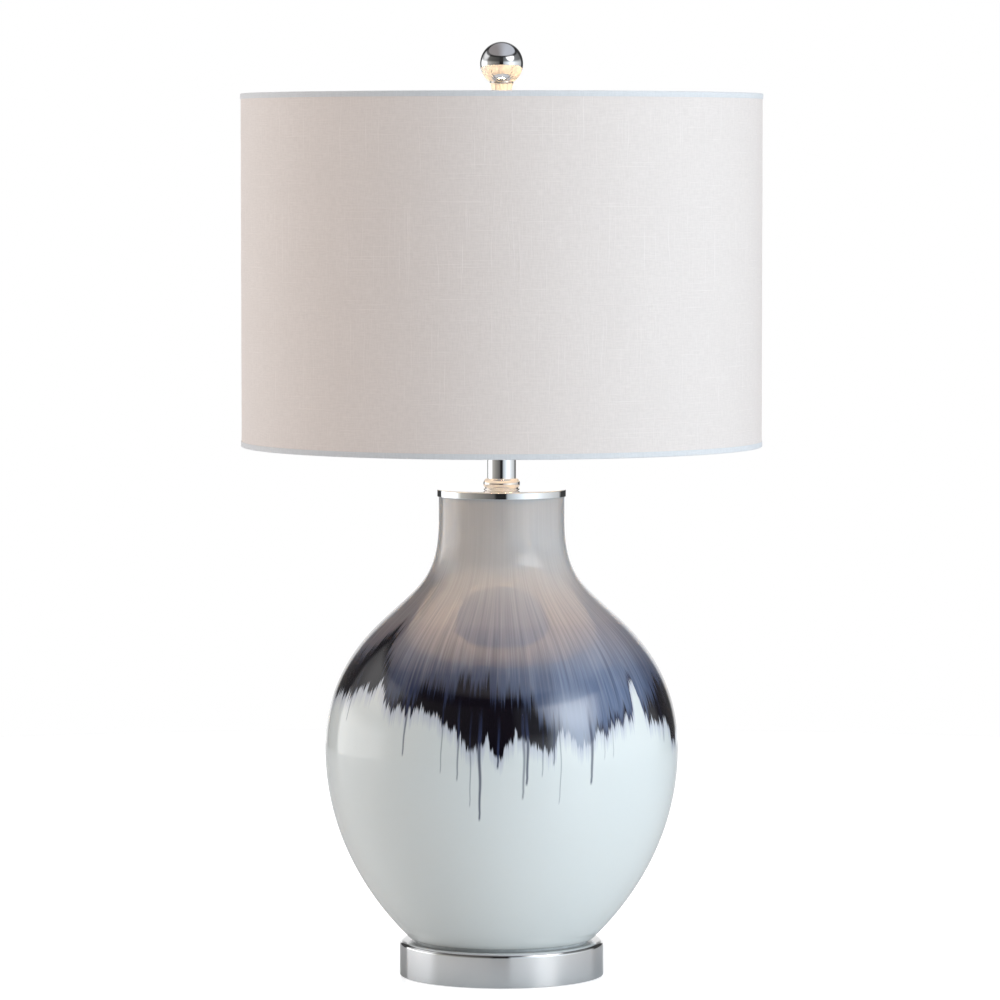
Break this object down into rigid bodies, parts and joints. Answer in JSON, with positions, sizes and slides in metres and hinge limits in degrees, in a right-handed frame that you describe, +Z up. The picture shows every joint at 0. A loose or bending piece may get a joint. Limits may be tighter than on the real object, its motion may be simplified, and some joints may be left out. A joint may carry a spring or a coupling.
{
  "type": "table lamp",
  "caption": "Table lamp with a dripped-glaze glass vase on a round chrome foot, a harp and spider, and a linen drum shade under a ball finial.",
  "frame": {"origin": "centre of the face the lamp stands on, the underside of the felt pad", "axes": "+Z up along the lamp's rod, -Y the front with the switch knob, +Y the back with the cord inlet"},
  "size_m": [0.3789, 0.379, 0.6799],
  "materials": {
    "felt": "matte felt",
    "cast_iron": "rough casting",
    "chrome_foot": "polished",
    "chrome_neck": "polished",
    "chrome_finial": "polished",
    "black_rubber": "matte",
    "clear_rubber": "soft translucent",
    "brass": "rolled",
    "zinc": "zinc plated",
    "art_glass": "glossy, with a dark blue and black dripped band",
    "nickel_wire": "satin nickel",
    "nickel_shell": "satin nickel",
    "fibre_board": "pressed board",
    "phenolic": "moulded",
    "black_plastic": "moulded",
    "wire_jacket": "smooth",
    "bulb_metal": "rolled",
    "bulb_white": "satin",
    "led_phosphor": "satin",
    "bulb_glow": "frosted, lit from inside",
    "shade_lining": "stiff film",
    "linen": "slubbed linen weave",
    "linen_hem": "folded linen"
  },
  "bodies": {
    "lamp": {"felt_pad": "felt", "base_weight": "cast_iron", "base_foot": "chrome_foot", "cord_grommet": "black_rubber", "threaded_rod": "brass", "rod_washer": "zinc", "lock_washer": "zinc", "rod_nut": "zinc", "seat_gasket": "clear_rubber", "rod_bush": "black_rubber", "glass_body": "art_glass", "rim_gasket": "clear_rubber", "vase_cap": "chrome_neck", "neck_collar": "chrome_neck", "neck_tube": "chrome_neck", "tube_ring": "chrome_neck", "harp_saddle": "nickel_wire", "harp_wire": "nickel_wire", "harp_stud": "nickel_wire", "socket_cap": "nickel_shell", "socket_shell": "nickel_shell", "socket_liner": "fibre_board", "socket_block": "phenolic", "screw_shell": "brass", "center_contact": "brass", "terminal_screws": "brass", "switch_bushing": "zinc", "lead_wires": "wire_jacket", "crimp_caps": "zinc"},
    "shade": {"spider": "nickel_wire", "top_ring": "nickel_wire", "bottom_ring": "nickel_wire", "shade_liner": "shade_lining", "shade_fabric": "linen", "top_hem": "linen_hem", "bottom_hem": "linen_hem"},
    "finial": {"finial_base": "chrome_finial", "finial_ball": "chrome_finial"},
    "bulb": {"bulb_contact": "zinc", "bulb_insulator": "phenolic", "bulb_screw_base": "bulb_metal", "bulb_housing": "bulb_white", "led_board": "bulb_white", "led_chips": "led_phosphor", "bulb_globe": "bulb_glow"},
    "switch_knob": {"switch_shaft": "brass", "switch_cam": "phenolic", "switch_knob": "black_plastic"},
    "ferrule_left": {"ferrule_left": "chrome_neck"},
    "ferrule_right": {"ferrule_right": "chrome_neck"}
  },
  "joints": [
    {"name": "shade_turn", "type": "hinge", "parent": "lamp", "child": "shade", "pos_m": [0, 0, 0.628], "axis": [0, 0, 1], "continuous": true},
    {"name": "finial_turn", "type": "hinge", "parent": "lamp", "child": "finial", "pos_m": [0, 0, 0.6295], "axis": [0, 0, 1], "continuous": true},
    {"name": "bulb_turn", "type": "hinge", "parent": "lamp", "child": "bulb", "pos_m": [0, 0, 0.4586], "axis": [0, 0, 1], "continuous": true},
    {"name": "switch_turn", "type": "hinge", "parent": "lamp", "child": "switch_knob", "pos_m": [0, -0.02, 0.4453], "axis": [0, -1, 0], "continuous": true},
    {"name": "ferrule_left_slide", "type": "slide", "parent": "lamp", "child": "ferrule_left", "axis": [0, 0, 1], "range_m": [0, 0.012]},
    {"name": "ferrule_right_slide", "type": "slide", "parent": "lamp", "child": "ferrule_right", "axis": [0, 0, 1], "range_m": [0, 0.012]}
  ]
}
